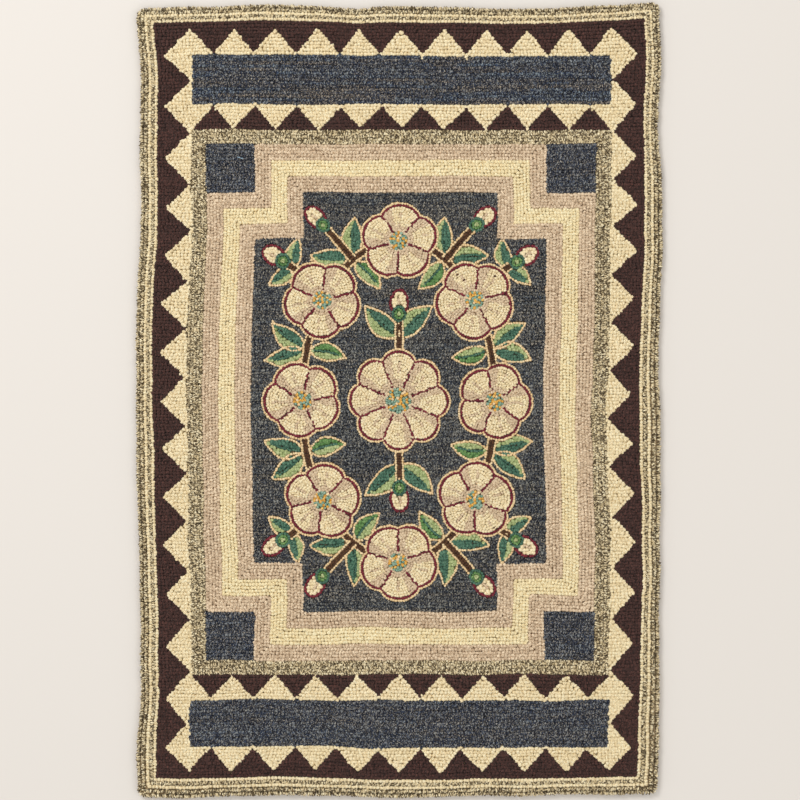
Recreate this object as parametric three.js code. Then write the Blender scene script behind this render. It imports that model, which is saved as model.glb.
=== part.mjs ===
// Hand-hooked wool rug, lying flat.
//
// One solid of foundation cloth and hooked pile together. The underside is flat,
// the rim is rounded by the loops that roll over the turned-under hem, and the
// four edges stray a few millimetres in and out, as hand hooking leaves them.
//
// Millimetres, +Z up. The origin is the middle of the underside, +Y runs along
// the length of the rug and +X across it.

import * as THREE from 'three';

// Driving dimensions
const RUG_WIDTH = 604;          // across the rug, mean of its two wandering long edges
const RUG_LENGTH = 914;         // along the rug, mean of its two wandering short edges
const RUG_THICKNESS = 8;        // foundation and pile together
const RIM_RADIUS = 2.6;         // rounding of the rim, above and below
const CORNER_RADIUS = 9;        // rounding of the four corners, seen from above

const RIM_STEPS = 3;            // flats around each rounding of the rim
const CURVE_STEPS = 3;          // stretches between two neighbouring points of an edge

const WOOL = { color: 0x6f6456, roughness: 0.95, metalness: 0 };

// Each edge as it strays from a straight line. "along" is a share of the edge,
// counted anticlockwise round the rug, and "out" is how far the edge stands
// outside its mean line there, in millimetres.
const RIGHT_EDGE = [
  { along: 0.02, out: -2.5 },
  { along: 0.07, out: -1.6 },
  { along: 0.14, out: 0.2 },
  { along: 0.18, out: -1.3 },
  { along: 0.32, out: 0.1 },
  { along: 0.48, out: 0.3 },
  { along: 0.53, out: -1.3 },
  { along: 0.61, out: 0.2 },
  { along: 0.69, out: 2.2 },
  { along: 0.79, out: 1.6 },
  { along: 0.85, out: -2.7 },
  { along: 0.93, out: 1.4 },
  { along: 0.98, out: -0.9 },
];
const TOP_EDGE = [
  { along: 0.03, out: 3.9 },
  { along: 0.09, out: 1.7 },
  { along: 0.15, out: 0.6 },
  { along: 0.24, out: -2.2 },
  { along: 0.34, out: -1.9 },
  { along: 0.43, out: 0.2 },
  { along: 0.53, out: 0.4 },
  { along: 0.58, out: -2.0 },
  { along: 0.67, out: 0.7 },
  { along: 0.80, out: 1.6 },
  { along: 0.92, out: -0.9 },
  { along: 0.98, out: -2.8 },
];
const LEFT_EDGE = [
  { along: 0.02, out: 2.4 },
  { along: 0.07, out: -2.0 },
  { along: 0.12, out: -2.3 },
  { along: 0.20, out: -1.3 },
  { along: 0.26, out: -2.9 },
  { along: 0.34, out: 0 },
  { along: 0.42, out: 2.9 },
  { along: 0.50, out: 3.1 },
  { along: 0.58, out: 2.2 },
  { along: 0.70, out: -0.8 },
  { along: 0.78, out: -2.2 },
  { along: 0.87, out: -2.3 },
  { along: 0.95, out: 3.0 },
  { along: 0.98, out: 1.4 },
];
const BOTTOM_EDGE = [
  { along: 0.03, out: 2.2 },
  { along: 0.09, out: 2.1 },
  { along: 0.17, out: -0.3 },
  { along: 0.33, out: -1.2 },
  { along: 0.42, out: 1.0 },
  { along: 0.51, out: 1.5 },
  { along: 0.60, out: 0.7 },
  { along: 0.69, out: -0.1 },
  { along: 0.82, out: -1.4 },
  { along: 0.91, out: -1.3 },
  { along: 0.97, out: -3.2 },
];

const halfWidth = RUG_WIDTH / 2;
const halfLength = RUG_LENGTH / 2;

// The mean rectangle's sides, each with its start, its direction and its table.
const SIDES = [
  { start: [halfWidth, -halfLength], heading: [0, 1], length: RUG_LENGTH, strays: RIGHT_EDGE },
  { start: [halfWidth, halfLength], heading: [-1, 0], length: RUG_WIDTH, strays: TOP_EDGE },
  { start: [-halfWidth, halfLength], heading: [0, -1], length: RUG_LENGTH, strays: LEFT_EDGE },
  { start: [-halfWidth, -halfLength], heading: [1, 0], length: RUG_WIDTH, strays: BOTTOM_EDGE },
];

// Points of one edge between its two rounded corners.
function edgePoints(side) {
  const start = new THREE.Vector2(...side.start);
  const heading = new THREE.Vector2(...side.heading);
  const outward = new THREE.Vector2(heading.y, -heading.x);
  return side.strays.map(({ along, out }) => start
    .clone()
    .addScaledVector(heading, along * side.length)
    .addScaledVector(outward, out));
}

// The point where two neighbouring edges would meet if they ran on straight.
function cornerPoint(edge, nextEdge) {
  const last = edge[edge.length - 1];
  const first = nextEdge[0];
  return Math.abs(last.x - edge[0].x) > Math.abs(last.y - edge[0].y)
    ? new THREE.Vector2(first.x, last.y)
    : new THREE.Vector2(last.x, first.y);
}

// Start, middle and end of the rounding between two neighbouring edges.
function cornerPoints(edge, nextEdge) {
  const corner = cornerPoint(edge, nextEdge);
  const back = edge[edge.length - 1].clone().sub(corner).normalize();
  const onward = nextEdge[0].clone().sub(corner).normalize();
  const middleInset = CORNER_RADIUS * (1 - Math.SQRT1_2);
  return [
    corner.clone().addScaledVector(back, CORNER_RADIUS),
    corner.clone().addScaledVector(back, middleInset).addScaledVector(onward, middleInset),
    corner.clone().addScaledVector(onward, CORNER_RADIUS),
  ];
}

// The rug's outline: one smooth closed curve along the wandering edges.
function rugOutline() {
  const edges = SIDES.map(edgePoints);
  const points = edges.flatMap((edge, index) => [
    ...edge,
    ...cornerPoints(edge, edges[(index + 1) % edges.length]),
  ]);
  const curve = new THREE.CatmullRomCurve3(
    points.map(({ x, y }) => new THREE.Vector3(x, y, 0)), true, 'centripetal');
  const closedPoints = curve.getPoints(points.length * CURVE_STEPS);
  return new THREE.Shape(closedPoints.slice(0, -1).map(({ x, y }) => new THREE.Vector2(x, y)));
}

function hookedRug() {
  const geometry = new THREE.ExtrudeGeometry(rugOutline(), {
    depth: RUG_THICKNESS - 2 * RIM_RADIUS,
    steps: 1,
    bevelEnabled: true,
    bevelThickness: RIM_RADIUS,
    bevelSize: RIM_RADIUS,
    bevelOffset: -RIM_RADIUS,
    bevelSegments: RIM_STEPS,
  });
  geometry.center();
  const rug = new THREE.Mesh(geometry, new THREE.MeshStandardMaterial(WOOL));
  rug.name = 'hooked_rug';
  rug.position.z = RUG_THICKNESS / 2;
  return rug;
}

const model = new THREE.Group();
model.add(hookedRug());

export default model;
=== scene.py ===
"""Hand-hooked wool rug, lying flat.

The pattern is drawn on a chart in millimetres, as a rug maker draws it on the linen.
Then it is hooked: outlines, frames and borders as lines of loops, everything else as
straight rows. Each loop of yarn is a small bead of mesh, and all loops of one yarn in
one part of the pattern are joined into one piece. The linen under the pile is a slab
of its own, with its edge turned under as a hem and stitched down on the back.
"""

import math
from typing import NamedTuple

import bpy
import numpy as np
from mathutils.kdtree import KDTree
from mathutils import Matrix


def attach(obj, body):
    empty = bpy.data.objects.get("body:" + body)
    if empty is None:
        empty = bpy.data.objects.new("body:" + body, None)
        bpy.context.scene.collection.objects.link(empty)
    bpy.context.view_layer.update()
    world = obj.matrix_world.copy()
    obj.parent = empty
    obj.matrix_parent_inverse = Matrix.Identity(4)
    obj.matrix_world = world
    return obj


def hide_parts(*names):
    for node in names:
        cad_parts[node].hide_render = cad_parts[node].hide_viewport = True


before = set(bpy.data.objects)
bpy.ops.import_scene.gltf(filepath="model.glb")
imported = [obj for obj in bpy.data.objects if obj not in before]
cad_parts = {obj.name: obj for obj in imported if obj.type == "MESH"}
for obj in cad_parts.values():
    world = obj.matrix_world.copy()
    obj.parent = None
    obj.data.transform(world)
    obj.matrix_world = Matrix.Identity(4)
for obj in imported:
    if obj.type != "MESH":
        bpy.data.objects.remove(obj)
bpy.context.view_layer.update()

# --------------------------------------------------------------------------- sizes
MM = 0.001                      # the chart is in millimetres, the model in metres
RUG_NODE = "hooked_rug"
HALF_WIDTH = 302.0              # middle of the rug to the mean long edge
HALF_LENGTH = 457.0             # middle of the rug to the mean short edge
RIM_RADIUS = 2.6                # rounding of the solid's rim

ROW = 4.05                      # one row of the chart, in which the pattern's parts are counted
PLAIN_ROW = 3.7                 # from one straight row of loops to the next
STEP = 3.6                      # from one loop to the next along a row that runs up the rug
ACROSS = 1.1                    # and this much further along a row that runs across it
FINE_ROW = 3.3                  # the closer rows of the flowers and their outlines
FINE_STEP = 2.8
MARL_STEP = 2.7                 # marl is hooked closer
BORDER_STEP = 2.4               # and closer still at the rug's edge
SLANT = 1.35                    # how far loops turn from the line of a straight row
LINE_SLANT = 1.35               # and from an outline, frame or border

FEET = 1.5                      # a loop's foot is this much wider than modelled
CLOSE_FEET = 1.65               # and in the sawtooth ground
SHORTEST_ROW = 0.4              # a shorter stretch, as a share of a step, gets no loop
RUN_OVER = 0.5                  # straight rows crowd this far into what ends them
BARE = 3.0                      # linen further than this from every loop would show

PILE_TOP = 7.9                  # the loops' tops above the floor
LINEN_TOP = 3.4                 # the linen's upper face
LEGS_END = 1.5                  # the loops' legs end inside the linen
LINEN_INSET = 1.3               # the loops at the rim stand this far over the fold
HEM_WIDTH = 28.0
HEM_DEPTH = 0.9                 # the turned hem stands this far below the stitches

# Rows of loops in each part of the pattern.
FIELD_ROWS = 60                 # half the length of the slate field
CORNER_ROWS = 14                # a corner square's side, and the stepped frame's width
MARL_FRAME_ROWS = 4             # as wide as this many, in five closer rows
MARL_LINES = 5
INNER_TEETH_ROWS = 7
BAND_ROWS = 14
STRIPE_ROWS = [("mauve", 5), ("straw", 5), ("mauve", 5)]    # from the outside in

FIELD_HALF_WIDTH = 169.0
MARL_FRAME_WIDTH = 17.6         # on the long sides, where its rows lie a little apart

CORNER = CORNER_ROWS * ROW
STRIPE_ROW = CORNER / sum(count for _, count in STRIPE_ROWS)
FIELD_HALF_LENGTH = FIELD_ROWS * ROW
STEPPED_WIDTH = FIELD_HALF_WIDTH + CORNER
STEPPED_LENGTH = FIELD_HALF_LENGTH + CORNER
FRAME_WIDTH = STEPPED_WIDTH + MARL_FRAME_WIDTH
FRAME_LENGTH = STEPPED_LENGTH + MARL_FRAME_ROWS * ROW
BAND_INNER = FRAME_LENGTH + INNER_TEETH_ROWS * ROW
BAND_OUTER = BAND_INNER + BAND_ROWS * ROW

# The rows that follow the rug's edge, from the outside in: the yarn, how far in from the
# edge, how far the loops lean over the fold and stand lower, how wide their feet are, and how
# wide the row is.
BORDER_ROWS = [
    ("border_marl", 2.9, 0.35, 0.8, 1.0, ROW), ("border_marl", 6.9, 0.12, 0.2, 1.2, ROW),
    ("border_ivory", 11.2, 0, 0, 1.4, 3.8), ("border_marl", 14.7, 0, -0.35, 1.4, 4.5),
    ("border_ivory", 18.2, 0, 0, 1.4, 3.8),
]
BORDER = len(BORDER_ROWS) * ROW
EDGE_CORNER = 9.0               # how round the rug's corners are

TEETH_ACROSS = 11               # ivory points along a short side
TEETH_ALONG = 15                # and along a long side
TOOTH_TIP = 430.5               # from the middle of the rug to the points, short sides
TOOTH_ROOT = 403
SIDE_TIP = 274.5                # the same on the long sides
SIDE_ROOT = 246
INNER_ROOT = 341                # the dark points between the inner teeth
TOOTH_DRIFT = 1.2               # how far a hand strays in drawing each

# Each row of teeth crept along its side as it was drawn. The first number says how far,
# anticlockwise, at the middle of the side. The second is added a quarter of the way along
# and taken off at three quarters.
CREEP_RIGHT = (7, 4)
CREEP_TOP = (-3, -1)
CREEP_LEFT = (0, 5)
CREEP_BOTTOM = (0.5, 1)
CREEP_INNER_TOP = (-3.5, 0)
CREEP_INNER_BOTTOM = (1, 0)

# Where the frame's long sides turn, by height, and how far outside the drawn line they are.
FRAME_LEFT = [
    (-457, 0), (-220, -3), (-150, 0.5), (10, 2.5), (110, 1), (200, -4.5), (290, -2), (375, -4),
    (457, -2),
]
FRAME_RIGHT = [
    (-457, -1), (-270, -0.5), (-170, 2), (-30, -3), (10, -3), (60, -0.5), (240, 3), (457, 1),
]
# How much wider the border came out on each side, by the place along it.
BORDER_LEFT = [
    (-457, 2), (-390, 2), (-210, 0.5), (-70, 1), (-20, -1.5), (200, -1), (300, 0.5), (400, -1.5),
    (457, -1.5),
]
BORDER_RIGHT = [
    (-457, 5.5), (-390, 5.5), (-280, 1.5), (-100, 1.5), (-45, 4), (70, 2.5), (130, 1), (245, 1),
    (300, -2), (457, -1.5),
]
BORDER_TOP = [(-302, -1.5), (-50, -1.5), (0, 0), (100, -0.5), (302, -1.5)]
BORDER_BOTTOM = [(-302, 2), (-185, 2), (-70, 1), (90, 0), (302, 0)]
# How far the pattern's cross lines lie above or below where they were drawn.
LEVELS = [
    (-457, 0), (-400, 0), (-345, -2.5), (-316, -1), (-186, -1), (186, 1), (243, -2), (316, -2.5),
    (344, -1), (401, -1.5), (437, 1.5), (457, 0),
]

CHART_CELL = 0.5
CHART_HALF_WIDTH = 316.0
CHART_HALF_LENGTH = 470.0

random = np.random.default_rng(41)


# --------------------------------------------------------------------------- chart
class Chart:
    """Which yarn each spot of the linen gets, and which spots are hooked already."""

    def __init__(self):
        self.x = np.arange(-CHART_HALF_WIDTH, CHART_HALF_WIDTH, CHART_CELL)
        self.y = np.arange(-CHART_HALF_LENGTH, CHART_HALF_LENGTH, CHART_CELL)
        self.yarns = []
        self.yarn = np.full((len(self.y), len(self.x)), -1, np.int16)
        self.hooked = np.zeros(self.yarn.shape, bool)

    def number(self, yarn):
        if yarn not in self.yarns:
            self.yarns.append(yarn)
        return self.yarns.index(yarn)

    def cell(self, x, y):
        column = np.round((np.asarray(x) + CHART_HALF_WIDTH) / CHART_CELL).astype(int)
        row = np.round((np.asarray(y) + CHART_HALF_LENGTH) / CHART_CELL).astype(int)
        return (np.clip(row, 0, len(self.y) - 1), np.clip(column, 0, len(self.x) - 1))

    def inside(self, outline):
        """The cells inside a closed outline, as a window and a mask in it."""
        low, high = outline.min(axis=0), outline.max(axis=0)
        rows = slice(*np.searchsorted(self.y, [low[1], high[1]]))
        columns = slice(*np.searchsorted(self.x, [low[0], high[0]]))
        x, y = self.x[columns], self.y[rows]
        mask = np.zeros((len(y), len(x)), bool)
        for (x1, y1), (x2, y2) in zip(outline, np.roll(outline, -1, axis=0)):
            if y1 == y2:
                continue
            crossed = np.flatnonzero((y1 > y) != (y2 > y))
            meets = x1 + (x2 - x1) * (y[crossed] - y1) / (y2 - y1)
            mask[crossed] ^= x[None, :] < meets[:, None]
        return (rows, columns), mask

    def paint(self, outline, yarn):
        window, mask = self.inside(np.asarray(outline, float))
        self.yarn[window][mask] = self.number(yarn)

    def close(self, outline, hole=None):
        """Marks an outline's area, apart from a hole in it, as hooked already."""
        window, mask = self.inside(np.asarray(outline, float))
        self.hooked[window] |= mask
        if hole is not None:
            window, mask = self.inside(np.asarray(hole, float))
            self.hooked[window] &= ~mask

    def cover(self, points, radius):
        """Marks a disc round each point as hooked already."""
        reach = int(radius / CHART_CELL) + 1
        across, up = np.meshgrid(np.arange(-reach, reach + 1), np.arange(-reach, reach + 1))
        disc = np.hypot(across, up) * CHART_CELL <= radius
        row, column = self.cell(points[:, 0], points[:, 1])
        rows = np.clip(row[:, None] + up[disc], 0, len(self.y) - 1)
        columns = np.clip(column[:, None] + across[disc], 0, len(self.x) - 1)
        self.hooked[rows, columns] = True


chart = Chart()


# --------------------------------------------------------------------------- shapes
def box(half_width, half_length):
    """A rectangle round the middle of the rug, anticlockwise."""
    return np.array([
        (half_width, -half_length), (half_width, half_length),
        (-half_width, half_length), (-half_width, -half_length),
    ])


def band(low_y, high_y, half_width):
    return np.array([
        (half_width, low_y), (half_width, high_y), (-half_width, high_y), (-half_width, low_y),
    ])


def stepped_box(inset):
    """The stepped frame's outline, moved inwards: a rectangle with a square cut from each corner."""
    wide, long = STEPPED_WIDTH - inset, STEPPED_LENGTH - inset
    quarter = np.array([
        (wide, long - CORNER), (wide - CORNER, long - CORNER), (wide - CORNER, long),
    ])
    return np.concatenate([
        quarter, quarter[::-1] * (-1, 1), quarter * (-1, -1), quarter[::-1] * (1, -1),
    ])


def rounded_box(half_width, half_length, radius, steps=6):
    """A rectangle with rounded corners, anticlockwise."""
    points = []
    turns = np.linspace(0, math.pi / 2, steps)
    for quarter, (side_x, side_y) in enumerate([(1, 1), (-1, 1), (-1, -1), (1, -1)]):
        centre = np.array([side_x * (half_width - radius), side_y * (half_length - radius)])
        angles = turns + quarter * math.pi / 2
        points.append(centre + radius * np.column_stack([np.cos(angles), np.sin(angles)]))
    return np.concatenate(points)


def moved_in(points, distance):
    """A closed anticlockwise outline moved inwards, with its corners kept sharp."""
    legs = np.roll(points, -1, axis=0) - points
    inward = np.column_stack([-legs[:, 1], legs[:, 0]]) / np.hypot(*legs.T)[:, None]
    both = inward + np.roll(inward, 1, axis=0)
    return points + distance * 2 * both / (both ** 2).sum(axis=1, keepdims=True)


def uneven(points, by):
    """Points moved a little at random, as a hand draws them."""
    return points + random.uniform(-by, by, np.shape(points))


def zigzag(start, end, tips, tip_out, root_out, creep):
    """Points from start to end that stand out by turns, beginning and ending at a tip."""
    start, end = np.array(start, float), np.array(end, float)
    along = (end - start) / np.linalg.norm(end - start)
    outward = np.array([along[1], -along[0]])
    share = np.linspace(0, 1, 2 * tips - 1)[:, None]
    out = np.where(np.arange(2 * tips - 1) % 2 == 0, tip_out, root_out)[:, None]
    crept = creep[0] * np.sin(math.pi * share) + creep[1] * np.sin(2 * math.pi * share)
    points = start + share * (end - start) + crept * along + out * outward
    return uneven(points, TOOTH_DRIFT)


def sawtooth_outline():
    """The ivory points all round the rug, which turn each corner as a cut-off square."""
    wide, long = FRAME_WIDTH, BAND_OUTER
    side = (SIDE_TIP - wide, SIDE_ROOT - wide)
    end = (TOOTH_TIP - long, TOOTH_ROOT - long)
    return np.concatenate([
        zigzag((wide, -long), (wide, long), TEETH_ALONG, *side, CREEP_RIGHT),
        zigzag((wide, long), (-wide, long), TEETH_ACROSS, *end, CREEP_TOP),
        zigzag((-wide, long), (-wide, -long), TEETH_ALONG, *side, CREEP_LEFT),
        zigzag((-wide, -long), (wide, -long), TEETH_ACROSS, *end, CREEP_BOTTOM),
    ])


def inner_teeth_outline(side):
    """The dark points between a band's inner teeth and the marled frame. side is 1 or -1."""
    points = zigzag(
        (side * FRAME_WIDTH, side * FRAME_LENGTH), (-side * FRAME_WIDTH, side * FRAME_LENGTH),
        TEETH_ACROSS, 0.0, INNER_ROOT - FRAME_LENGTH,
        CREEP_INNER_TOP if side > 0 else CREEP_INNER_BOTTOM)
    base = np.array([(-FRAME_WIDTH, FRAME_LENGTH - ROW), (FRAME_WIDTH, FRAME_LENGTH - ROW)])
    return np.concatenate([points, base * side])


def further(x, y, way, far):
    """The spot that lies far from x, y along a heading."""
    return x + far * math.cos(way), y + far * math.sin(way)


def turned(points, angle, at=(0.0, 0.0)):
    """Points turned about the origin and then moved."""
    cos, sin = math.cos(angle), math.sin(angle)
    points = np.asarray(points, float)
    return points @ np.array([(cos, sin), (-sin, cos)]) + at


def oval(half_width, half_length, steps=96):
    angles = np.linspace(0, 2 * math.pi, steps, endpoint=False)
    return np.column_stack([half_width * np.cos(angles), half_length * np.sin(angles)])


def rose_outline(size, petals, turn, steps=150):
    """A flower's outline: round petals with a notch between each two."""
    angles = np.linspace(0, 2 * math.pi, steps, endpoint=False)
    swell = np.abs(np.cos(petals * (angles - turn) / 2)) ** 0.7
    radius = size * (1 - ROSE_NOTCH * (1 - swell))
    return np.column_stack([radius * np.cos(angles), radius * np.sin(angles)])


def leaf_half(length, width, side, steps=16):
    """One edge of a pointed leaf, from its foot at the origin to its tip on +X."""
    along = np.linspace(0, 1, steps)
    out = side * width / 2 * np.sin(math.pi * along ** 0.8) ** 0.9
    bend = 0.06 * length * np.sin(math.pi * along)
    return np.column_stack([length * along, out + bend])


def leaf_vein(length, steps=16):
    along = np.linspace(0, 1, steps)
    return np.column_stack([length * along, 0.06 * length * np.sin(math.pi * along)])


# --------------------------------------------------------------------------- hooking
class Hooking:
    """The loops made so far: where each stands, how it lies and what it is hooked with."""

    FIELDS = (
        "x", "y", "heading", "long", "wide", "feet", "lean_x", "lean_y", "drop", "yarn", "fixed")

    def __init__(self):
        self.rows = []

    def add(self, points, heading, yarn, **given):
        count = len(points)
        values = {
            "x": points[:, 0], "y": points[:, 1], "heading": heading, "yarn": yarn,
            "long": STEP, "wide": ROW, "feet": FEET, "lean_x": 0.0, "lean_y": 0.0, "drop": 0.0,
            "fixed": 1.0,
        }
        values.update(given)
        self.rows.append(np.column_stack(
            [np.broadcast_to(values[name], count).astype(float) for name in self.FIELDS]))

    def table(self):
        joined = np.concatenate(self.rows)
        return {name: joined[:, i].copy() for i, name in enumerate(self.FIELDS)}


hooking = Hooking()


def stretch(headings):
    """How much longer than a step the way from loop to loop is, for lines that head so."""
    return np.hypot(ACROSS * np.cos(headings), np.sin(headings))


def walk(points, step, closed):
    """Spots along a line, about a step apart and a little uneven, with their headings."""
    points = np.asarray(points, float)
    if closed:
        points = np.concatenate([points, points[:1]])
    legs = np.diff(points, axis=0)
    lengths = np.hypot(legs[:, 0] / ACROSS, legs[:, 1])
    reached = np.concatenate([[0], np.cumsum(lengths)])
    count = max(1, round(reached[-1] / step))
    gaps = random.uniform(0.9, 1.1, count)
    start = random.uniform(0, 1) if closed else random.uniform(0.2, 0.8)
    stops = (np.cumsum(gaps) - gaps * start) * reached[-1] / gaps.sum()
    spots = np.column_stack([np.interp(stops, reached, points[:, i]) for i in (0, 1)])
    leg = np.clip(np.searchsorted(reached, stops) - 1, 0, len(legs) - 1)
    return spots, np.arctan2(legs[leg, 1], legs[leg, 0])


def hook_line(points, yarn, closed=True, row=ROW, step=STEP, slant=SLANT, over=False, sway=0.0,
              **given):
    """One line of loops. Unless it goes over, it stops where the linen is hooked already.

    yarn is a name, or a function that gives the name for each spot. sway is how far each loop
    may stand off the line.
    """
    spots, headings = walk(points, step, closed)
    spots = uneven(spots, sway)
    trace, _ = walk(points, 1.0, closed)
    free, open_trace = (
        np.full(len(some), True) if over else ~chart.hooked[chart.cell(some[:, 0], some[:, 1])]
        for some in (spots, trace))
    if callable(yarn):
        numbers = np.array([chart.number(yarn(x, y)) for x, y in spots])
    else:
        numbers = np.full(len(spots), chart.number(yarn))
    headings = headings[free]
    hooking.add(
        spots[free], headings + slant, numbers[free], long=step * stretch(headings), wide=row,
        **given)
    chart.cover(trace[open_trace], row / 2)


def row_levels():
    """Where the straight rows lie and how wide they are: whole rows between pattern lines."""
    lines = [0, FIELD_HALF_LENGTH, STEPPED_LENGTH, FRAME_LENGTH, BAND_INNER, BAND_OUTER,
             HALF_LENGTH - BORDER]
    for low, high in zip(lines, lines[1:]):
        count = round((high - low) / PLAIN_ROW)
        wide = (high - low) / count
        for number in range(count):
            for side in (-1, 1):
                yield side * (low + (number + 0.5) * wide), wide


def hook_rows():
    """Fills all that is still open with straight rows, each colour from edge to edge."""
    close_yarns = {chart.number("sawtooth_ivory"), chart.number("sawtooth_brown")}
    for y, wide in row_levels():
        row, _ = chart.cell(0, y)
        yarns = np.where(chart.hooked[row], -1, chart.yarn[row])
        ends = np.flatnonzero(np.diff(yarns)) + 1
        starts = np.concatenate([[0], ends])
        ends = np.concatenate([ends, [len(yarns)]])
        for start, end in zip(starts, ends):
            length = (end - start) * CHART_CELL
            if yarns[start] < 0 or length < SHORTEST_ROW * STEP:
                continue
            left = chart.x[start] - CHART_CELL / 2 - RUN_OVER
            right = left + length + 2 * RUN_OVER
            spots, headings = walk([(left, y), (right, y)], STEP, closed=False)
            feet = CLOSE_FEET if yarns[start] in close_yarns else FEET
            hooking.add(spots, headings + SLANT, yarns[start], long=STEP * ACROSS, wide=wide,
                        feet=feet, fixed=0.0)


def line_slant(number):
    """Neighbouring lines of loops slant opposite ways."""
    return LINE_SLANT if number % 2 else -LINE_SLANT


def hook_border():
    """The rows that follow the rug's edge. The outermost loops lean over the fold."""
    for number, (yarn, inset, lean, drop, feet, wide) in enumerate(BORDER_ROWS):
        corner = max(EDGE_CORNER - inset, 1.2)
        line = rounded_box(HALF_WIDTH - inset, HALF_LENGTH - inset, corner)
        step = BORDER_STEP if yarn == "border_marl" else STEP
        spots, headings = walk(line, step, True)
        outward = np.column_stack([np.sin(headings), -np.cos(headings)]) * lean
        hooking.add(
            spots, headings + line_slant(number), chart.number(yarn),
            long=step * stretch(headings), wide=wide,
            lean_x=outward[:, 0], lean_y=outward[:, 1], drop=drop, feet=feet)
    chart.close(box(CHART_HALF_WIDTH - 1, CHART_HALF_LENGTH - 1),
                box(HALF_WIDTH - BORDER, HALF_LENGTH - BORDER))


def band_yarn(side):
    """The upper band's yarn drifts more in colour than the lower one's."""
    return "top_band_slate" if side > 0 else "band_slate"


def tooth_yarn(x, y):
    """The yarn of the points' outline, which doesn't cut into the bands."""
    in_band = abs(x) < FRAME_WIDTH and BAND_INNER < abs(y) < BAND_OUTER
    return band_yarn(y) if in_band else "sawtooth_ivory"


def hook_marl_frame():
    """The marl frame's lines, which go round it one inside the other."""
    across = MARL_FRAME_WIDTH / MARL_LINES
    up = MARL_FRAME_ROWS * ROW / MARL_LINES
    for number in range(MARL_LINES):
        line = box(FRAME_WIDTH - (number + 0.5) * across, FRAME_LENGTH - (number + 0.5) * up)
        hook_line(
            line, "frame_marl", row=3.7, step=MARL_STEP, over=True, slant=line_slant(number))
    chart.close(box(FRAME_WIDTH, FRAME_LENGTH), box(STEPPED_WIDTH, STEPPED_LENGTH))


def hook_stepped_frame():
    """The three stripes of the stepped frame, line by line from the outside in."""
    number = 0
    for yarn, count in STRIPE_ROWS:
        for _ in range(count):
            line = stepped_box((number + 0.5) * STRIPE_ROW)
            hook_line(line, yarn, row=STRIPE_ROW, over=True, slant=line_slant(number))
            number += 1
    chart.close(stepped_box(0), stepped_box(CORNER))


# --------------------------------------------------------------------------- flowers
def hook_rose(x, y, radius, petals, turn, heart):
    """A round-petalled flower in rings: a peach and a burgundy outline, shaded petals, a heart."""
    def petal_place(px, py):
        """Where a spot lies across its petal, from -1 to 1, and how far out it is."""
        angle = math.atan2(py - y, px - x) - turn
        across = ((petals * angle / (2 * math.pi) + 0.5) % 1.0) * 2 - 1
        return across, (math.hypot(px - x, py - y) - heart) / (radius - heart)

    def petal_yarn(px, py):
        across, out = petal_place(px, py)
        shaded = across > 0.42 and out < 0.8 or out < 0.2
        return "taupe" if shaded or -0.12 < across < 0.02 and out < 0.62 else "petal_ivory"

    def heart_yarn(px, py):
        spot = int(4.2 * math.atan2(py - y, px - x)) + int(math.hypot(px - x, py - y) / 3)
        return "gold" if spot % 3 == 0 else "peach" if spot % 7 == 0 else "teal"

    def ring(size):
        return turned(rose_outline(size, petals, turn), 0, (x, y))

    hook_line(ring(radius - 1.2), "peach", row=2.5, step=2.7)
    hook_line(ring(radius - 4.0), "burgundy", row=3.0, step=2.8)
    for number in range(petals):
        way = turn + (number + 0.5) * 2 * math.pi / petals
        ends = [heart + 1.0, (radius - 5.0) * (1 - ROSE_NOTCH)]
        seam = [further(x, y, way, far) for far in ends]
        hook_line(seam, "burgundy", closed=False, row=2.7, step=2.8, over=True)
    size = radius - 5.5
    rings = max(1, round((size - heart) / FINE_ROW))
    pitch = (size - heart) / rings
    for number in range(rings):
        line = ring(size - (number + 0.5) * pitch)
        hook_line(line, petal_yarn, row=pitch, step=FINE_STEP)
    far = heart - FINE_ROW / 2
    while far > 0:
        hook_line(oval(far, far, 24) + (x, y), heart_yarn, row=FINE_ROW, step=FINE_STEP)
        far -= FINE_ROW
    hook_line([(x - 1, y), (x + 1, y)], "gold", closed=False, over=True)


def hook_leaf(x, y, length, width, angle, near="dark_green", far="light_green"):
    """A pointed leaf: peach outline and vein, one half darker than the other."""
    upper = turned(leaf_half(length, width, 1), angle, (x, y))
    lower = turned(leaf_half(length, width, -1), angle, (x, y))
    vein = turned(leaf_vein(length), angle, (x, y))
    chart.paint(np.concatenate([lower, vein[::-1]]), near)
    chart.paint(np.concatenate([upper, vein[::-1]]), far)
    hook_line(np.concatenate([lower, upper[::-1]]), "peach", row=2.5, step=2.8)
    hook_line(vein[1:-3], "dark_green", closed=False, row=2.6, step=2.8)


def hook_bud(x, y, angle):
    """A closed bud on its calyx."""
    petal = turned(oval(14.5, 10.0, 40) + (13.0, 0.0), angle, (x, y))
    calyx = turned(oval(8.0, 7.2, 30), angle, (x, y))
    for size, yarn in ((1.0, "dark_green"), (0.58, "mid_green"), (0.16, "light_green")):
        hook_line((calyx - (x, y)) * size + (x, y), yarn, row=3.0, step=2.7, over=True)
    chart.close(calyx)
    chart.paint(petal, "petal_ivory")
    hook_line(petal, "burgundy", row=3.0, step=2.8)
    seam = turned([(9.0, 0.0), (19.0, 1.5)], angle, (x, y))
    hook_line(seam, "taupe", closed=False, row=3.0, step=2.7)


def hook_stem(points, closed=False):
    """A brown stem of two rows, with a row of peach along each side."""
    points = np.asarray(points, float)
    ahead = np.roll(points, -1, axis=0) - np.roll(points, 1, axis=0)
    if not closed:
        ahead[0], ahead[-1] = points[1] - points[0], points[-1] - points[-2]
    aside = np.column_stack([-ahead[:, 1], ahead[:, 0]]) / np.hypot(*ahead.T)[:, None]
    for off, yarn, row in STEM_ROWS:
        hook_line(points + off * aside, yarn, closed=closed, row=row, step=2.9)


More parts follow.
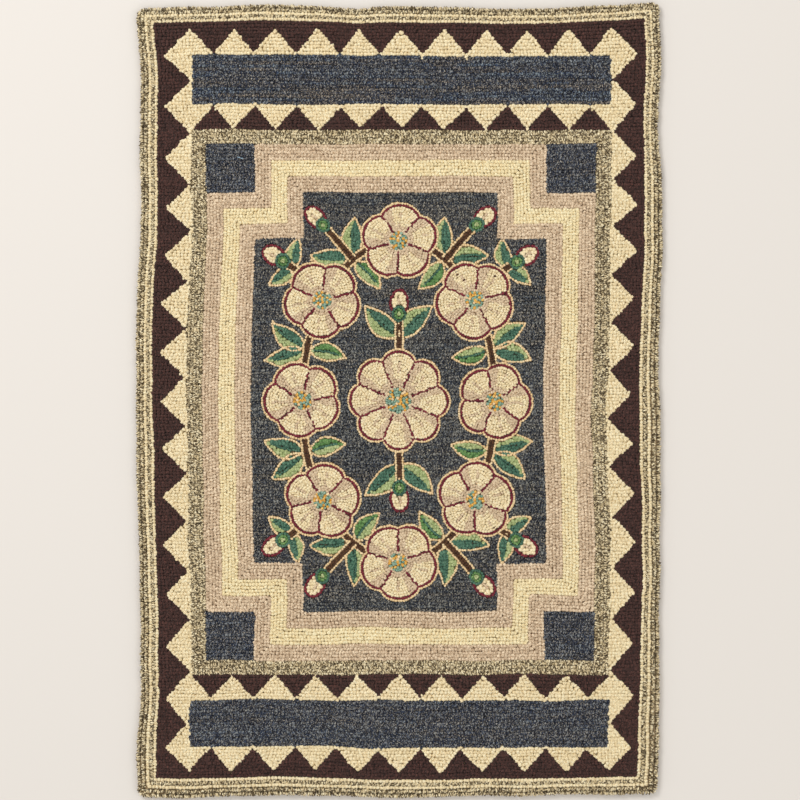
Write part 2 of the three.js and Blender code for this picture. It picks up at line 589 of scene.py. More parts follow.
STEM_ROWS = [
    (-1.5, "stem_brown", 3.0), (1.5, "stem_brown", 3.0), (-4.2, "peach", 2.4), (4.2, "peach", 2.4),
]
ROSE_NOTCH = 0.17
WREATH_HALF_WIDTH = 112.0
WREATH_HALF_LENGTH = 185.0
WREATH_FLOWERS = 8
WREATH_FLOWER_RADIUS = 47.5
MIDDLE_FLOWER_RADIUS = 60.0
SPRAY_X, SPRAY_Y = 123.0, 153.0     # the feet of the sprays in the field's corners
SPRAY_RISE = 0.62
# How long and how wide each kind of leaf is.
MIDDLE_LEAF = (52, 25)
WREATH_LEAF = (46, 23)
INNER_LEAF = (42, 21)
SPRAY_LEAF = (34, 18)
LEAF_GAP = 4                    # from the stem to a leaf's foot


def even_spots(line, count):
    """Evenly spaced spots along a closed line."""
    closed = np.concatenate([line, line[:1]])
    lengths = np.hypot(*np.diff(closed, axis=0).T)
    reached = np.concatenate([[0], np.cumsum(lengths)])
    stops = np.arange(count) * reached[-1] / count
    return np.column_stack([np.interp(stops, reached, closed[:, i]) for i in (0, 1)])


def hook_wreath():
    """A wreath of flowers and leaves, with one large flower in the middle."""
    line = turned(oval(WREATH_HALF_LENGTH, WREATH_HALF_WIDTH, 240), math.pi / 2)
    spots = even_spots(line, 2 * WREATH_FLOWERS)
    flowers, gaps = spots[::2], spots[1::2]
    hook_rose(0, 0, MIDDLE_FLOWER_RADIUS, 8, 0.0, 15.0)
    for x, y in uneven(flowers, 1.5):
        turn = math.atan2(y, x) + random.uniform(-0.15, 0.15)
        hook_rose(x, y, WREATH_FLOWER_RADIUS + random.uniform(-1.5, 1.0), 5, turn, 11.0)
    for side in (-1, 1):
        up = side * math.pi / 2
        hook_bud(0, side * 100, up)
        hook_stem([(0, side * 50), (0, side * 75), (0, side * 98)])
        for lean in (-0.85, 0.85):
            hook_leaf(0, side * 74, *MIDDLE_LEAF, up + lean)
    outward = [
        math.atan2(y / WREATH_HALF_LENGTH ** 2, x / WREATH_HALF_WIDTH ** 2) for x, y in gaps]
    at_ends = np.abs(gaps[:, 1]) > WREATH_HALF_LENGTH / 2
    for (x, y), out in zip(gaps[at_ends], np.array(outward)[at_ends]):
        hook_bud(*further(x, y, out, 54), out)
        hook_stem([further(x, y, out, far) for far in (0, 26, 52)])
    hook_stem(line, closed=True)
    for (x, y), out, at_end in zip(gaps, outward, at_ends):
        spread = 0.75 if at_end else 0.45
        for way in (out - spread, out + spread):
            hook_leaf(*further(x, y, way, LEAF_GAP), *WREATH_LEAF, way)
        way = out + math.pi
        hook_leaf(
            *further(x, y, way, LEAF_GAP), *INNER_LEAF, way, near="light_green", far="mid_green")
    for side_x, side_y in ((-1, -1), (-1, 1), (1, -1), (1, 1)):
        out = math.atan2(side_y * SPRAY_RISE, side_x)
        foot = (side_x * SPRAY_X, side_y * SPRAY_Y)
        hook_bud(*further(*foot, out, 14), out)
        hook_stem([further(*foot, out, far) for far in (-20, 0, 12)])
        for lean in (-1.15, 1.15):
            hook_leaf(*foot, *SPRAY_LEAF, out + lean)


def hook_stray_thread():
    """A pale blue thread that was caught in the upper left corner square."""
    spots = np.array([(-187.0, 283.6), (-182.4, 282.0)])
    hooking.add(spots, -0.3, chart.number("pale_blue"), long=1.2, wide=4.6, drop=-0.35)


def draw_pattern():
    """All areas of one colour that the straight rows fill. Returns the outlines of the points."""
    chart.paint(box(HALF_WIDTH, HALF_LENGTH), "sawtooth_brown")
    teeth = sawtooth_outline()
    chart.paint(teeth, "sawtooth_ivory")
    outlines = [moved_in(teeth, ROW / 2)]
    for side in (-1, 1):
        low, high = sorted((side * BAND_INNER, side * BAND_OUTER))
        chart.paint(band(low, high, FRAME_WIDTH), band_yarn(side))
        teeth = inner_teeth_outline(side)
        chart.paint(teeth, "sawtooth_brown")
        outlines.append(moved_in(teeth, -ROW / 2))
    chart.paint(box(STEPPED_WIDTH, STEPPED_LENGTH), "corner_slate")
    chart.paint(stepped_box(CORNER), "field_slate")
    return outlines


SETTLE_ROUNDS = 5
CROWDED = 3.3                   # loops nearer to each other than this ease apart
PUSH = 0.3                      # by this share of what they lack
LEAST_GAP = 0.3                 # no push is worked out for less than this distance
FURTHEST_EASE = 0.8             # the most that a loop moves in one round
PLUG_INSET = 4                  # no gaps are plugged this near the rug's edge
PLUG = {"long": 2.6, "wide": 2.8, "drop": 0.4}      # the small loops in the gaps


def loop_tree(loops):
    """The loops' places, for finding those near a spot."""
    tree = KDTree(len(loops["x"]))
    for i, (x, y) in enumerate(zip(loops["x"], loops["y"])):
        tree.insert((x, y, 0), i)
    tree.balance()
    return tree


def settle(loops):
    """Eases the field's crowded loops apart, as a pile does. Those of outlines stay."""
    for _ in range(SETTLE_ROUNDS):
        tree = loop_tree(loops)
        moves = np.zeros((len(loops["x"]), 2))
        for i in np.flatnonzero(loops["fixed"] == 0):
            x, y = loops["x"][i], loops["y"][i]
            if abs(x) > FIELD_HALF_WIDTH or abs(y) > FIELD_HALF_LENGTH:
                continue
            for near, other, gap in tree.find_range((x, y, 0), CROWDED):
                if other != i:
                    push = PUSH * (CROWDED - gap) / max(gap, LEAST_GAP)
                    moves[i] += push * (x - near[0]), push * (y - near[1])
        loops["x"] += np.clip(moves[:, 0], -FURTHEST_EASE, FURTHEST_EASE)
        loops["y"] += np.clip(moves[:, 1], -FURTHEST_EASE, FURTHEST_EASE)


def plug_gaps(loops):
    """Where linen would still show, and the yarn of the loop next to each such spot."""
    tree = loop_tree(loops)
    chart.hooked[:] = True
    window, mask = chart.inside(box(HALF_WIDTH - PLUG_INSET, HALF_LENGTH - PLUG_INSET))
    chart.hooked[window] &= ~mask
    chart.cover(np.column_stack([loops["x"], loops["y"]]), BARE)
    spots, yarns = [], []
    for row, column in zip(*np.nonzero(~chart.hooked)):
        if chart.hooked[row, column]:
            continue
        x, y = chart.x[column], chart.y[row]
        chart.cover(np.array([(x, y)]), BARE)
        spots.append((x, y))
        yarns.append(loops["yarn"][tree.find((x, y, 0))[1]])
    return np.array(spots), np.array(yarns)


# --------------------------------------------------------------------------- outline
def rim_points():
    """The rug's outline, read from the solid's rim, anticlockwise, in millimetres."""
    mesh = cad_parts[RUG_NODE].data
    points = np.empty(len(mesh.vertices) * 3)
    mesh.vertices.foreach_get("co", points)
    points = points.reshape(-1, 3) / MM
    rim = points[np.abs(points[:, 2] - RIM_RADIUS) < 0.1][:, :2]
    rim = np.unique(np.round(rim, 3), axis=0)
    return rim[np.argsort(np.arctan2(rim[:, 1] / HALF_LENGTH, rim[:, 0] / HALF_WIDTH))]


rim = rim_points()
FURTHEST_STRAY = 6              # no edge stands further than this inside its mean line
CORNER_REACH = 10               # an edge's strays are read no nearer to its corners than this
OUTSIDE = 10                    # strays still grow this far outside the mean edge
WAVES = 7                       # slight waves that all lines share
WAVE_HEIGHT = 0.25


def stray(axis, side):
    """How far one edge stands outside its mean line, as places along it and distances."""
    half = (HALF_WIDTH, HALF_LENGTH)
    across = side * rim[:, axis] - half[axis]
    along = rim[:, 1 - axis]
    on_edge = (across > -FURTHEST_STRAY) & (np.abs(along) < half[1 - axis] - CORNER_REACH)
    order = np.argsort(along[on_edge])
    return along[on_edge][order], across[on_edge][order]


EDGE_STRAYS = {(axis, side): stray(axis, side) for axis in (0, 1) for side in (-1, 1)}
WANDER = [
    (random.uniform(0.02, 0.09), random.uniform(0, 2 * math.pi),
     random.uniform(0, 2 * math.pi), random.uniform(0, 2 * math.pi))
    for _ in range(WAVES)
]


def as_hooked(x, y):
    """From the drawn pattern to where it lies: lines bow, edges stray, nothing is quite straight."""
    x, y = np.array(x, float), np.array(y, float)
    moved_x, moved_y = x.copy(), y.copy()
    for side, strays in ((-1, FRAME_LEFT), (1, FRAME_RIGHT)):
        share = np.interp(side * x, [0, FRAME_WIDTH, HALF_WIDTH], [0, 1, 0])
        moved_x += side * share * np.interp(y, *zip(*strays))
        share = np.interp(side * x, [FRAME_WIDTH, HALF_WIDTH, HALF_WIDTH + OUTSIDE], [0, 1, 1.1])
        moved_x += side * share * np.interp(y, *EDGE_STRAYS[0, side])
    moved_y += np.interp(y, *zip(*LEVELS))
    for side in (-1, 1):
        places = [FRAME_LENGTH, HALF_LENGTH, HALF_LENGTH + OUTSIDE]
        share = np.interp(side * y, places, [0, 1, 1.05])
        moved_y += side * share * np.interp(x, *EDGE_STRAYS[1, side])
    for side, wider in ((-1, BORDER_LEFT), (1, BORDER_RIGHT)):
        share = np.interp(side * x, [FRAME_WIDTH, HALF_WIDTH - BORDER, HALF_WIDTH - 2], [0, 1, 0])
        moved_x -= side * share * np.interp(y, *zip(*wider))
    for side, wider in ((-1, BORDER_BOTTOM), (1, BORDER_TOP)):
        share = np.interp(side * y, [FRAME_LENGTH, HALF_LENGTH - BORDER, HALF_LENGTH - 2], [0, 1, 0])
        moved_y -= side * share * np.interp(x, *zip(*wider))
    for rate, way, phase_x, phase_y in WANDER:
        run = rate * (x * math.cos(way) + y * math.sin(way))
        moved_x += WAVE_HEIGHT * np.sin(run + phase_x)
        moved_y += WAVE_HEIGHT * np.sin(run + phase_y)
    return moved_x, moved_y


# --------------------------------------------------------------------------- modelling
def only_this(thing):
    bpy.ops.object.select_all(action="DESELECT")
    thing.select_set(True)
    bpy.context.view_layer.objects.active = thing


def added():
    """The primitive that was just added, selected alone."""
    thing = bpy.context.object
    only_this(thing)
    return thing


def editing(on):
    """Starts or ends the editing of the selected thing."""
    bpy.ops.object.mode_set(mode="EDIT" if on else "OBJECT")


def loop_shape():
    """One loop of yarn, modelled once: a round head on its legs, 11 points and 18 faces."""
    bpy.ops.mesh.primitive_ico_sphere_add(subdivisions=1, radius=1.0)
    loop = added()
    for low, high, lift, size in LOOP_RINGS:
        choose_points(loop, low, high)
        bpy.ops.transform.resize(value=(size, size, 1.0))
        bpy.ops.transform.translate(value=(0, 0, lift))
    choose_points(loop, -1.1, -0.9)
    bpy.ops.mesh.delete(type="VERT")
    editing(False)
    choose_points(loop, LEGS - 0.1, LEGS + 0.1)
    bpy.ops.mesh.edge_face_add()
    bpy.ops.mesh.quads_convert_to_tris()
    editing(False)
    points = np.array([point.co[:] for point in loop.data.vertices])
    faces = np.array([face.vertices[:] for face in loop.data.polygons])
    bpy.data.objects.remove(loop, do_unlink=True)
    return points, faces


def choose_points(thing, low, high):
    """Selects the points whose height is between low and high, for editing."""
    if thing.mode == "EDIT":
        editing(False)
    editing(True)
    bpy.ops.mesh.select_mode(type="VERT")
    bpy.ops.mesh.select_all(action="DESELECT")
    editing(False)
    for point in thing.data.vertices:
        point.select = low < point.co.z < high
    editing(True)


LEGS = -2.2                     # how far a loop's legs go down, as a share of its head
# The rings of a loop's points: between which heights, how far lifted, how much widened.
LOOP_RINGS = [(0.2, 0.9, 0.27, 1.03), (-0.9, -0.2, LEGS + 0.447, 1.12)]


def flat_star(points, faces):
    """A loop's faces laid out flat round its top, one place for each face corner."""
    corners = points[faces]
    angle = np.arctan2(corners[..., 1], corners[..., 0])
    level = corners[..., 2]
    reach = np.select([level > 0.8, level > 0], [0.0, 0.25], 0.46)
    under = (level < 0).all(axis=1)[:, None]
    reach = np.where(under, 0.485, reach)
    return np.stack([reach * np.cos(angle), reach * np.sin(angle)], axis=-1)


LOOP_POINTS, LOOP_FACES = loop_shape()
LOOP_STAR = flat_star(LOOP_POINTS, LOOP_FACES)
HEAD_HEIGHT = 2.0               # from the middle of a loop's head to its top
LOOP_LENGTH = 1.22              # a loop's length, as a share of its row's width
LOOP_WIDTH = 1.2                # and its width, as a share of the step along its row
YARN_LOOPS = 18                 # loops hooked with one length of yarn
YARN_START = 500                # each loop's yarn map starts at random within this, in mm

# How unlike each other loops are: where they stand, which way they head, how large and how
# high they are, and how they lean.
PLACE_SPREAD = 0.2
HEADING_SPREAD = 0.32
SIZE_SPREAD = 0.09
HEIGHT_SPREAD = 0.2
LEAN_SPREAD = 0.07


def pile_mesh(name, loops):
    """Joins loops into one mesh, with a map of the yarn and the dye lots of each loop."""
    count = len(loops["x"])
    x, y = as_hooked(loops["x"], loops["y"]) + random.normal(0, PLACE_SPREAD, (2, count))
    heading = loops["heading"] + random.normal(0, HEADING_SPREAD, count)
    cos, sin = np.cos(heading), np.sin(heading)
    swell = random.normal(1, SIZE_SPREAD, (2, count, 1))
    shape = LOOP_POINTS[None] * np.ones((count, 1, 1))
    shape[:, LOOP_POINTS[:, 2] < 0, :2] *= loops["feet"][:, None, None]
    along = shape[:, :, 0] * swell[0] * (loops["wide"] / 2 * LOOP_LENGTH)[:, None]
    across = shape[:, :, 1] * swell[1] * (loops["long"] / 2 * LOOP_WIDTH)[:, None]
    top = PILE_TOP - loops["drop"] + random.normal(0, HEIGHT_SPREAD, count)
    middle = top - HEAD_HEIGHT
    up = LOOP_POINTS[None, :, 2] * HEAD_HEIGHT
    lean = np.column_stack([loops["lean_x"], loops["lean_y"]])
    lean = lean + random.normal(0, LEAN_SPREAD, (count, 2))
    rise = (LOOP_POINTS[None, :, 2] + 1.0) * HEAD_HEIGHT
    points = np.stack([
        x[:, None] + along * cos[:, None] - across * sin[:, None] + rise * lean[:, :1],
        y[:, None] + along * sin[:, None] + across * cos[:, None] + rise * lean[:, 1:],
        np.maximum(middle[:, None] + up, LEGS_END),
    ], axis=-1) * MM
    faces = LOOP_FACES[None] + np.arange(count)[:, None, None] * len(LOOP_POINTS)
    mesh = bpy.data.meshes.new(name)
    mesh.from_pydata(points.reshape(-1, 3).tolist(), [], faces.reshape(-1, 3).tolist())
    mesh.shade_smooth()

    # Yarn map: millimetres along and across each loop, from a different start for each.
    corner = LOOP_FACES.ravel()
    start = random.uniform(0, YARN_START, (count, 2))
    yarn_map = mesh.uv_layers.new(name="Yarn")
    places = np.stack([along[:, corner] + start[:, :1], across[:, corner] + start[:, 1:]], axis=-1)
    yarn_map.data.foreach_set("uv", places.ravel())

    # A second map gives each loop a place of its own, for laying the colours out.
    side = math.ceil(math.sqrt(count))
    number = np.arange(count)
    cells = np.column_stack([number % side, number // side]) + 0.5
    atlas = (cells[:, None, None, :] + LOOP_STAR[None]) / side
    flat_map = mesh.uv_layers.new(name="OFBake")
    flat_map.data.foreach_set("uv", atlas.ravel())

    # Loops of one length of yarn come from one lot, more or less.
    lengths = np.cumsum(random.uniform(0, 1, count) < 1 / YARN_LOOPS)
    lot = random.uniform(0, 1, count + 1)[lengths] * 0.5 + random.uniform(0, 0.5, count)
    batch = random.uniform(0, 1, count + 1)[lengths]
    for label, values in (("lot", lot), ("batch", batch)):
        mesh.attributes.new(label, "FLOAT", "POINT").data.foreach_set(
            "value", np.repeat(values, len(LOOP_POINTS)))
    mesh.uv_layers.active = yarn_map
    piece = bpy.data.objects.new(name, mesh)
    bpy.context.scene.collection.objects.link(piece)
    return piece


# --------------------------------------------------------------------------- materials
def rgb(red, green, blue):
    """A colour as it looks on a screen, from 0 to 255, made linear."""
    def linear(value):
        value /= 255
        return value / 12.92 if value <= 0.04045 else ((value + 0.055) / 1.055) ** 2.4
    return (linear(red), linear(green), linear(blue), 1.0)


def add_node(tree, kind, at=(0, 0), **settings):
    node = tree.nodes.new(kind)
    node.location = at
    for name, value in settings.items():
        setattr(node, name, value)
    return node


def feed(tree, socket, value):
    """Gives an input what it works with: another node's output or a plain value."""
    if isinstance(value, bpy.types.NodeSocket):
        tree.links.new(value, socket)
    else:
        socket.default_value = value


def mix_colours(tree, factor, first, second, blend="MIX"):
    """A colour mix. factor, first and second are sockets or plain values."""
    node = add_node(tree, "ShaderNodeMix", data_type="RGBA", blend_type=blend)
    colours = [socket for socket in node.inputs if socket.type == "RGBA"]
    for socket, value in ((node.inputs[0], factor), (colours[0], first), (colours[1], second)):
        feed(tree, socket, value)
    return next(socket for socket in node.outputs if socket.type == "RGBA")


def in_range(tree, value, low, high, to_low=0.0, to_high=1.0, smooth=True):
    node = add_node(tree, "ShaderNodeMapRange")
    node.interpolation_type = "SMOOTHSTEP" if smooth else "LINEAR"
    tree.links.new(value, node.inputs["Value"])
    names = ("From Min", "From Max", "To Min", "To Max")
    for name, number in zip(names, (low, high, to_low, to_high)):
        feed(tree, node.inputs[name], number)
    return node.outputs["Result"]


def noise_on(tree, vector, scale, detail=2.0):
    node = add_node(tree, "ShaderNodeTexNoise")
    tree.links.new(vector, node.inputs["Vector"])
    node.inputs["Scale"].default_value = scale
    node.inputs["Detail"].default_value = detail
    return node.outputs["Fac"]


def new_group(name, inputs, outputs):
    group = bpy.data.node_groups.new(name, "ShaderNodeTree")
    for label, kind, default in inputs:
        socket = group.interface.new_socket(label, in_out="INPUT", socket_type=kind)
        socket.default_value = default
    for label, kind in outputs:
        group.interface.new_socket(label, in_out="OUTPUT", socket_type=kind)
    entry = add_node(group, "NodeGroupInput", (-900, 0))
    leave = add_node(group, "NodeGroupOutput", (900, 0))
    return group, entry.outputs, leave.inputs


def loop_value(tree, name):
    """A value that each loop carries."""
    return add_node(tree, "ShaderNodeAttribute", attribute_name=name).outputs["Fac"]


def yarn_places(tree, stretch):
    """The yarn map, stretched along and across the yarn, as a vector."""
    source = add_node(tree, "ShaderNodeUVMap", uv_map="Yarn")
    mapping = add_node(tree, "ShaderNodeMapping")
    mapping.inputs["Scale"].default_value = (*stretch, 1)
    tree.links.new(source.outputs["UV"], mapping.inputs["Vector"])
    return mapping.outputs["Vector"]


def calculate(tree, operation, *values):
    node = add_node(tree, "ShaderNodeMath", operation=operation)
    for socket, value in zip(node.inputs, values):
        feed(tree, socket, value)
    return node.outputs[0]


def strands_group():
    """The strands that lie side by side in a loop: two random numbers each, and their crowns."""
    number = "NodeSocketFloat"
    group, _, result = new_group(
        "strands", [], [("Tone", number), ("Pick", number), ("Crown", number)])
    split = add_node(group, "ShaderNodeSeparateXYZ")
    group.links.new(yarn_places(group, (1, 1)), split.inputs[0])
    sway = noise_on(group, yarn_places(group, (0.5, 0.5)), 0.8, 1.0)
    place = calculate(group, "DIVIDE", split.outputs["Y"], STRAND)
    place = calculate(group, "ADD", place, calculate(group, "MULTIPLY", sway, 0.9))
    lot = loop_value(group, "lot")
    label = add_node(group, "ShaderNodeCombineXYZ")
    strand = calculate(group, "FLOOR", place)
    group.links.new(strand, label.inputs["X"])
    group.links.new(calculate(group, "MULTIPLY", lot, LOT_STRIDE), label.inputs["Y"])
    twist = calculate(group, "DIVIDE", split.outputs["X"], PLY_LENGTH)
    twist = calculate(group, "ADD", twist, calculate(group, "MULTIPLY", strand, 0.37))
    group.links.new(calculate(group, "FLOOR", twist), label.inputs["Z"])
    chance = add_node(group, "ShaderNodeTexWhiteNoise", noise_dimensions="3D")
    group.links.new(label.outputs[0], chance.inputs["Vector"])
    shares = add_node(group, "ShaderNodeSeparateColor")
    group.links.new(chance.outputs["Color"], shares.inputs[0])
    group.links.new(shares.outputs["Red"], result["Tone"])
    group.links.new(shares.outputs["Green"], result["Pick"])
    crown = calculate(group, "PINGPONG", place, 0.5)
    group.links.new(in_range(group, crown, 0.0, 0.28), result["Crown"])
    return group


def wool_colour_group():
    """Colour of dyed wool yarn: dye lots, strands of two colours, heathered fibres, painted shade at
    grooves and roots.
    """
    colour, number = "NodeSocketColor", "NodeSocketFloat"
    group, given, result = new_group("wool_colour", [
        ("Deep", colour, (0.1, 0.1, 0.1, 1)), ("Main", colour, (0.3, 0.3, 0.3, 1)),
        ("Light", colour, (0.6, 0.6, 0.6, 1)), ("Heather", colour, (0.5, 0.5, 0.5, 1)),
        ("Heather Share", number, 0.2), ("Second", colour, (0.1, 0.1, 0.1, 1)),
        ("Second Share", number, 0.0), ("Painted Groove Shade", number, 0.8), ("Root Shade", number, 0.6),
        ("Warm", colour, (1, 1, 1, 1)), ("Cool", colour, (1, 1, 1, 1)),
    ], [("Colour", colour)])
    strand = add_node(group, "ShaderNodeGroup", node_tree=STRANDS).outputs
    lot = loop_value(group, "lot")
    tone = calculate(group, "MULTIPLY", strand["Tone"], STRAND_WEIGHT)
    tone = calculate(group, "ADD", tone, calculate(group, "MULTIPLY", lot, LOT_WEIGHT))
    dyed = mix_colours(group, in_range(group, tone, 0.3, 1.0), given["Deep"], given["Main"])
    dyed = mix_colours(group, in_range(group, tone, 1.0, 1.7), dyed, given["Light"])

    fibres = noise_on(group, yarn_places(group, (0.45, 1.3)), 0.9, 2.0)
    edge = calculate(group, "ADD", strand["Pick"], in_range(group, fibres, 0.3, 0.7, -0.15, 0.15))
    second = calculate(group, "LESS_THAN", edge, given["Second Share"])
    dyed = mix_colours(group, second, dyed, given["Second"])
    specks = in_range(group, noise_on(group, yarn_places(group, (0.8, 1.2)), 0.8, 1.0), 0.56, 0.64)
    heather = calculate(group, "MULTIPLY", specks, given["Heather Share"])
    dyed = mix_colours(group, heather, dyed, given["Heather"])
    batch = loop_value(group, "batch")
    tint = mix_colours(group, batch, given["Warm"], given["Cool"])
    dyed = mix_colours(group, 1.0, dyed, tint, "MULTIPLY")

    streaks = noise_on(group, yarn_places(group, (0.35, 3.0)), 1.6, 3.0)
    shade = in_range(group, streaks, 0.25, 0.75, 0.9, 1.1, smooth=False)
    # Painted shade: the grooves between strands are darker than their crowns.
    painted_groove_shade = in_range(group, strand["Crown"], 0.0, 1.0, given["Painted Groove Shade"], 1.0, smooth=False)
    shade = calculate(group, "MULTIPLY", shade, painted_groove_shade)
    place = add_node(group, "ShaderNodeTexCoord").outputs["Object"]
    height = add_node(group, "ShaderNodeSeparateXYZ")
    group.links.new(place, height.inputs[0])
    # Painted shade: the loops are darker towards their roots, low in the pile.
    root = in_range(group, height.outputs["Z"], *ROOT_SHADE_HEIGHTS, given["Root Shade"], 1.0)
    dyed = mix_colours(group, 1.0, dyed, calculate(group, "MULTIPLY", shade, root), "MULTIPLY")
    group.links.new(dyed, result["Colour"])
    return group


def wool_relief_group():
    """Height of the strands and their loose fibres, and how matt they are."""
    number = "NodeSocketFloat"
    group, given, result = new_group(
        "wool_relief", [("Fuzz", number, 0.5)], [("Height", number), ("Roughness", number)])
    strand = add_node(group, "ShaderNodeGroup", node_tree=STRANDS).outputs
    fuzz = noise_on(group, yarn_places(group, (0.6, 2.5)), 2.0, 4.0)
    total = calculate(group, "ADD", strand["Crown"], calculate(group, "MULTIPLY", fuzz, given["Fuzz"]))
    group.links.new(total, result["Height"])
    group.links.new(in_range(group, fuzz, 0.2, 0.8, 0.82, 1.0), result["Roughness"])
    return group


STRAND = 1.4                    # width of one strand of yarn, in millimetres
PLY_LENGTH = 2.1                # and how much of it shows before it twists under
LOT_STRIDE = 911.0              # keeps the random numbers of two lots apart
STRAND_WEIGHT = 1.45            # how much a strand's own tone counts in its dye
LOT_WEIGHT = 0.55               # and how much its lot does
ROOT_SHADE_HEIGHTS = (0.0045, 0.0072)     # painted shade darkens the loops below the first height, in metres, and none is painted above the second
GROOVE_SHADE = 0.78                   # brightness of the painted shade in the grooves between strands, as a share
ROOT_SHADE = 0.85               # and of the painted shade at the roots
STRANDS = strands_group()
WOOL_COLOUR = wool_colour_group()
WOOL_RELIEF = wool_relief_group()

class Yarn(NamedTuple):
    """A yarn's colours: three dyes, the fibres heathered in, and a second colour of strand."""
    deep: tuple
    main: tuple
    light: tuple
    heather: tuple
    heather_share: float
    second: tuple = (60, 50, 40)
    second_share: float = -1.0      # below nought, no strand has the second colour
    drift: float = 0.0              # how much warmer or cooler one length is than another


YARNS = {
    "brown": Yarn((40, 21, 15), (57, 35, 29), (82, 51, 44), (116, 70, 60), 0.5),
    "ivory": Yarn((227, 205, 158), (250, 230, 186), (255, 243, 206), (240, 214, 166), 0.5),
    "straw": Yarn((234, 212, 162), (252, 233, 185), (255, 244, 204), (245, 218, 167), 0.5),
    "mauve": Yarn((182, 154, 123), (218, 191, 158), (247, 224, 192), (246, 229, 198), 0.5),
    "marl": Yarn(
        (196, 176, 134), (235, 215, 172), (255, 242, 205), (150, 130, 94), 0.4,
        second=(80, 64, 38), second_share=0.45),
    "slate": Yarn(
        (17, 29, 50), (47, 60, 82), (134, 137, 138), (196, 188, 172), 0.55,
        second=(8, 13, 30), second_share=0.48, drift=0.065),
    "field": Yarn(
        (22, 31, 45), (57, 65, 77), (140, 138, 131), (199, 191, 168), 0.55,
        second=(9, 14, 30), second_share=0.47, drift=0.065),
    "burgundy": Yarn((88, 20, 34), (116, 32, 46), (140, 50, 60), (150, 60, 70), 0.2),
    "peach": Yarn((232, 196, 142), (246, 216, 166), (252, 230, 186), (240, 200, 150), 0.4),
    "taupe": Yarn((200, 172, 138), (218, 192, 158), (236, 214, 180), (242, 224, 192), 0.5),
    "teal": Yarn((96, 136, 116), (132, 168, 146), (168, 192, 168), (190, 205, 180), 0.5),
    "gold": Yarn((206, 140, 44), (232, 172, 70), (246, 200, 110), (220, 190, 130), 0.3),
    "dark_green": Yarn((40, 78, 62), (62, 104, 84), (96, 136, 112), (130, 160, 130), 0.4),
    "mid_green": Yarn((64, 104, 52), (92, 136, 72), (126, 164, 100), (160, 184, 130), 0.4),
    "light_green": Yarn((140, 156, 96), (168, 182, 122), (194, 204, 150), (206, 210, 160), 0.4),
    "pale_blue": Yarn((128, 158, 178), (158, 186, 204), (190, 210, 222), (200, 210, 215), 0.3),
    "stem_brown": Yarn((62, 36, 18), (84, 52, 28), (108, 72, 42), (120, 86, 56), 0.2),
}
YARNS["streaky_slate"] = YARNS["slate"]._replace(drift=0.16)


def new_material(name):
    """A new material, with its nodes and its shader."""
    material = bpy.data.materials.new(name)
    material.use_nodes = True
    tree = material.node_tree
    return material, tree, tree.nodes["Principled BSDF"]


def raise_surface(tree, shader, height, strength, distance):
    """Makes a surface look raised where height is high. distance is in metres."""
    bump = add_node(tree, "ShaderNodeBump")
    bump.inputs["Strength"].default_value = strength
    bump.inputs["Distance"].default_value = distance
    tree.links.new(height, bump.inputs["Height"])
    tree.links.new(bump.outputs["Normal"], shader.inputs["Normal"])


def wool(name):
    """A yarn's material."""
    dye = YARNS[name]
    material, tree, shader = new_material("wool_" + name)
    shader.inputs["Specular IOR Level"].default_value = 0.25
    shader.inputs["Sheen Weight"].default_value = 0.06
    shader.inputs["Sheen Roughness"].default_value = 0.6
    colour = add_node(tree, "ShaderNodeGroup", (-500, 200), node_tree=WOOL_COLOUR)
    for label in ("Deep", "Main", "Light", "Heather", "Second"):
        colour.inputs[label].default_value = rgb(*getattr(dye, label.lower()))
    colour.inputs["Heather Share"].default_value = dye.heather_share
    colour.inputs["Second Share"].default_value = dye.second_share
    more, less = 1 + dye.drift, 1 - dye.drift
    colour.inputs["Warm"].default_value = (more, 1, less, 1)
    colour.inputs["Cool"].default_value = (less, 1, more, 1)
    # painted shade in the grooves between strands
    colour.inputs["Painted Groove Shade"].default_value = GROOVE_SHADE
    # painted shade at the loops' roots
    colour.inputs["Root Shade"].default_value = ROOT_SHADE
    tree.links.new(colour.outputs["Colour"], shader.inputs["Base Color"])
    relief = add_node(tree, "ShaderNodeGroup", (-500, -200), node_tree=WOOL_RELIEF)
    tree.links.new(relief.outputs["Roughness"], shader.inputs["Roughness"])
    raise_surface(tree, shader, relief.outputs["Height"], strength=1.0, distance=0.0006)
    return material


# Which material each hooked part of the pattern has, and what its piece is called. Most of
# those of the motifs are called after their yarn.
PARTS = {
    "border_marl": "marl", "border_ivory": "ivory", "sawtooth_brown": "brown",
    "sawtooth_ivory": "ivory", "band_slate": "slate", "top_band_slate": "streaky_slate",
    "frame_marl": "marl", "corner_slate": "slate", "mauve": "mauve", "straw": "straw",
    "field_slate": "field", "petal_ivory": "ivory",
}
for motif_yarn in ("taupe", "burgundy", "peach", "teal", "gold", "dark_green", "mid_green",
                   "light_green", "stem_brown", "pale_blue"):
    PARTS[motif_yarn] = motif_yarn


